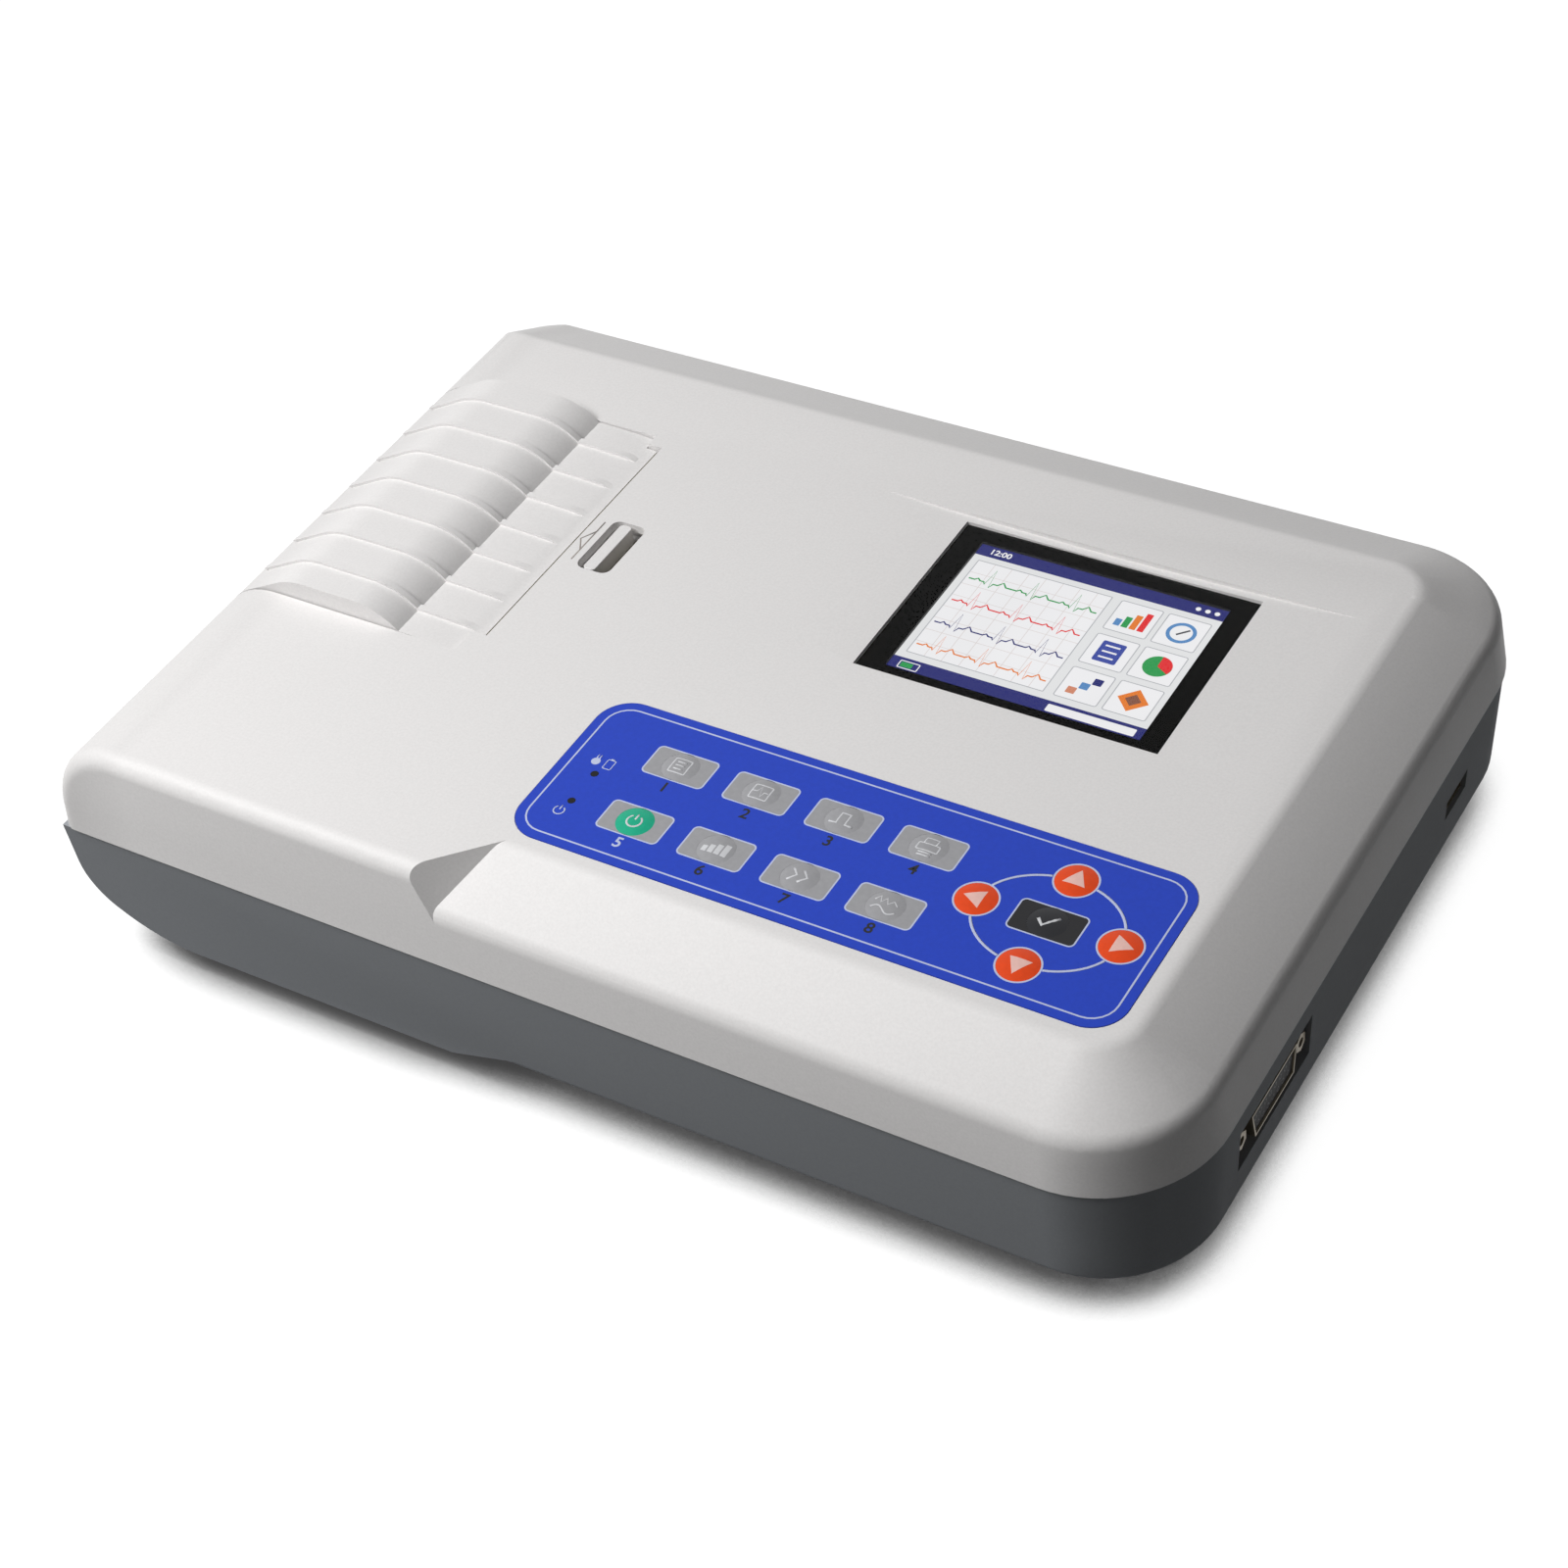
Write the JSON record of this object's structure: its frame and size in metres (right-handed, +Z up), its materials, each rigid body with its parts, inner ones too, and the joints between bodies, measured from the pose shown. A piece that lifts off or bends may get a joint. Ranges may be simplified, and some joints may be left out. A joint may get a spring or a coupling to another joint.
{
  "type": "ecg machine",
  "caption": "Portable electrocardiograph with a blue film keypad, a sunken colour display and a ribbed hinged paper cover over a thermal printer, on a grey base with rubber feet.",
  "frame": {"origin": "on the table, under the middle of the case's plan", "axes": "+X to the right along the front, +Y to the back, +Z up; metres"},
  "size_m": [0.315, 0.2256, 0.0778],
  "materials": {
    "case_white": "fine moulded texture",
    "case_grey": "fine moulded texture",
    "foot_rubber": "dull",
    "platen_rubber": "ground smooth",
    "steel": "plated",
    "brass": "turned",
    "gear_white": "natural acetal",
    "head_ceramic": "smooth",
    "heatsink": "milled",
    "paper": "thermal paper",
    "dark_plastic": "moulded",
    "window_clear": "clear",
    "display_black": "gloss black",
    "display_screen": "lit picture",
    "film_blue": "printed polyester film",
    "key_grey": "embossed dome",
    "key_green": "embossed dome",
    "key_orange": "embossed dome",
    "key_black": "embossed dome",
    "board_green": "solder mask",
    "transformer": "varnished",
    "lamp_clear": "light pipe",
    "battery_wrap": "shrink film",
    "socket_metal": "nickel plated",
    "socket_black": "moulded"
  },
  "bodies": {
    "case": {"top_housing": "case_white", "base_housing": "case_grey", "battery_door": "case_grey", "rubber_feet": "foot_rubber", "case_screws": "steel", "cover_hinge_pin": "steel", "drive_motor": "steel", "head_leaf_spring": "steel", "latch_spring": "steel", "printer_frame": "steel", "inlet_pins": "brass", "paper_tray": "dark_plastic", "display_window": "window_clear", "display_mask": "display_black", "display_panel": "display_screen", "keypad_overlay": "film_blue", "keypad_board": "board_green", "main_board": "board_green", "power_board": "board_green", "usb_board": "board_green", "tact_switches": "dark_plastic", "buzzer": "dark_plastic", "power_transformer": "transformer", "indicator_lamps": "lamp_clear", "battery_pack": "battery_wrap", "patient_socket_shell": "socket_metal", "usb_socket": "socket_metal", "jack_posts": "socket_metal", "patient_socket_insert": "socket_black", "usb_tongue": "socket_black", "mains_inlet": "socket_black", "rocker_frame": "socket_black"},
    "cover": {"paper_cover": "case_white", "platen_bushes": "brass"},
    "platen": {"platen_shaft": "steel", "platen_sleeve": "platen_rubber", "platen_gear": "gear_white"},
    "roll": {"paper_roll": "paper", "paper_spindle": "dark_plastic"},
    "idler": {"idler_gear": "gear_white"},
    "pinion": {"motor_pinion": "brass", "motor_shaft": "steel"},
    "latch": {"cover_latch": "case_white"},
    "head": {"print_head": "head_ceramic", "head_heatsink": "heatsink"},
    "rocker": {"power_rocker": "socket_black"},
    "menu_key": {"menu_key": "key_grey"},
    "mode_key": {"mode_key": "key_grey"},
    "pulse_key": {"pulse_key": "key_grey"},
    "print_key": {"print_key": "key_grey"},
    "power_key": {"power_key": "key_green"},
    "gain_key": {"gain_key": "key_grey"},
    "speed_key": {"speed_key": "key_grey"},
    "filter_key": {"filter_key": "key_grey"},
    "left_key": {"left_key": "key_orange"},
    "right_key": {"right_key": "key_orange"},
    "up_key": {"up_key": "key_orange"},
    "down_key": {"down_key": "key_orange"},
    "set_key": {"set_key": "key_black"}
  },
  "joints": [
    {"name": "cover_hinge", "type": "hinge", "parent": "case", "child": "cover", "pos_m": [-0.154, 0.01125, 0.049], "axis": [0, -1, 0], "range_deg": [0, 90]},
    {"name": "platen_spin", "type": "hinge", "parent": "cover", "child": "platen", "pos_m": [-0.0813, 0.01125, 0.056], "axis": [0, -1, 0], "continuous": true},
    {"name": "paper_roll_spin", "type": "hinge", "parent": "case", "child": "roll", "pos_m": [-0.1255, 0.01125, 0.042], "axis": [0, -1, 0], "continuous": true},
    {"name": "idler_spin", "type": "hinge", "parent": "case", "child": "idler", "pos_m": [-0.08001, 0.0566, 0.04256], "axis": [0, -1, 0], "continuous": true},
    {"name": "pinion_spin", "type": "hinge", "parent": "case", "child": "pinion", "pos_m": [-0.06951, 0.0566, 0.04256], "axis": [0, -1, 0], "continuous": true},
    {"name": "latch_slide", "type": "slide", "parent": "case", "child": "latch", "axis": [-1, 0, 0], "range_m": [0, 0.0018], "stiffness_N_per_m": 800, "deforming": ["latch_spring"]},
    {"name": "head_slide", "type": "slide", "parent": "case", "child": "head", "axis": [1, 0, 0], "range_m": [0, 0.0005], "stiffness_N_per_m": 4000},
    {"name": "rocker_pivot", "type": "hinge", "parent": "case", "child": "rocker", "pos_m": [-0.0385, 0.10815, 0.027], "axis": [-1, 0, 0], "range_deg": [0, 15]},
    {"name": "menu_key_press", "type": "slide", "parent": "case", "child": "menu_key", "axis": [0, 0, -1], "range_m": [0, 0.0005], "stiffness_N_per_m": 1500},
    {"name": "mode_key_press", "type": "slide", "parent": "case", "child": "mode_key", "axis": [0, 0, -1], "range_m": [0, 0.0005], "stiffness_N_per_m": 1500},
    {"name": "pulse_key_press", "type": "slide", "parent": "case", "child": "pulse_key", "axis": [0, 0, -1], "range_m": [0, 0.0005], "stiffness_N_per_m": 1500},
    {"name": "print_key_press", "type": "slide", "parent": "case", "child": "print_key", "axis": [0, 0, -1], "range_m": [0, 0.0005], "stiffness_N_per_m": 1500},
    {"name": "power_key_press", "type": "slide", "parent": "case", "child": "power_key", "axis": [0, 0, -1], "range_m": [0, 0.0005], "stiffness_N_per_m": 1500},
    {"name": "gain_key_press", "type": "slide", "parent": "case", "child": "gain_key", "axis": [0, 0, -1], "range_m": [0, 0.0005], "stiffness_N_per_m": 1500},
    {"name": "speed_key_press", "type": "slide", "parent": "case", "child": "speed_key", "axis": [0, 0, -1], "range_m": [0, 0.0005], "stiffness_N_per_m": 1500},
    {"name": "filter_key_press", "type": "slide", "parent": "case", "child": "filter_key", "axis": [0, 0, -1], "range_m": [0, 0.0005], "stiffness_N_per_m": 1500},
    {"name": "left_key_press", "type": "slide", "parent": "case", "child": "left_key", "axis": [0, 0, -1], "range_m": [0, 0.0005], "stiffness_N_per_m": 1500},
    {"name": "right_key_press", "type": "slide", "parent": "case", "child": "right_key", "axis": [0, 0, -1], "range_m": [0, 0.0005], "stiffness_N_per_m": 1500},
    {"name": "up_key_press", "type": "slide", "parent": "case", "child": "up_key", "axis": [0, 0, -1], "range_m": [0, 0.0005], "stiffness_N_per_m": 1500},
    {"name": "down_key_press", "type": "slide", "parent": "case", "child": "down_key", "axis": [0, 0, -1], "range_m": [0, 0.0005], "stiffness_N_per_m": 1500},
    {"name": "set_key_press", "type": "slide", "parent": "case", "child": "set_key", "axis": [0, 0, -1], "range_m": [0, 0.0005], "stiffness_N_per_m": 1500}
  ],
  "couplings": [
    {"joint": "platen_spin", "follows": "paper_roll_spin", "ratio": 3.5},
    {"joint": "idler_spin", "follows": "paper_roll_spin", "ratio": -2.8},
    {"joint": "pinion_spin", "follows": "paper_roll_spin", "ratio": 7}
  ]
}
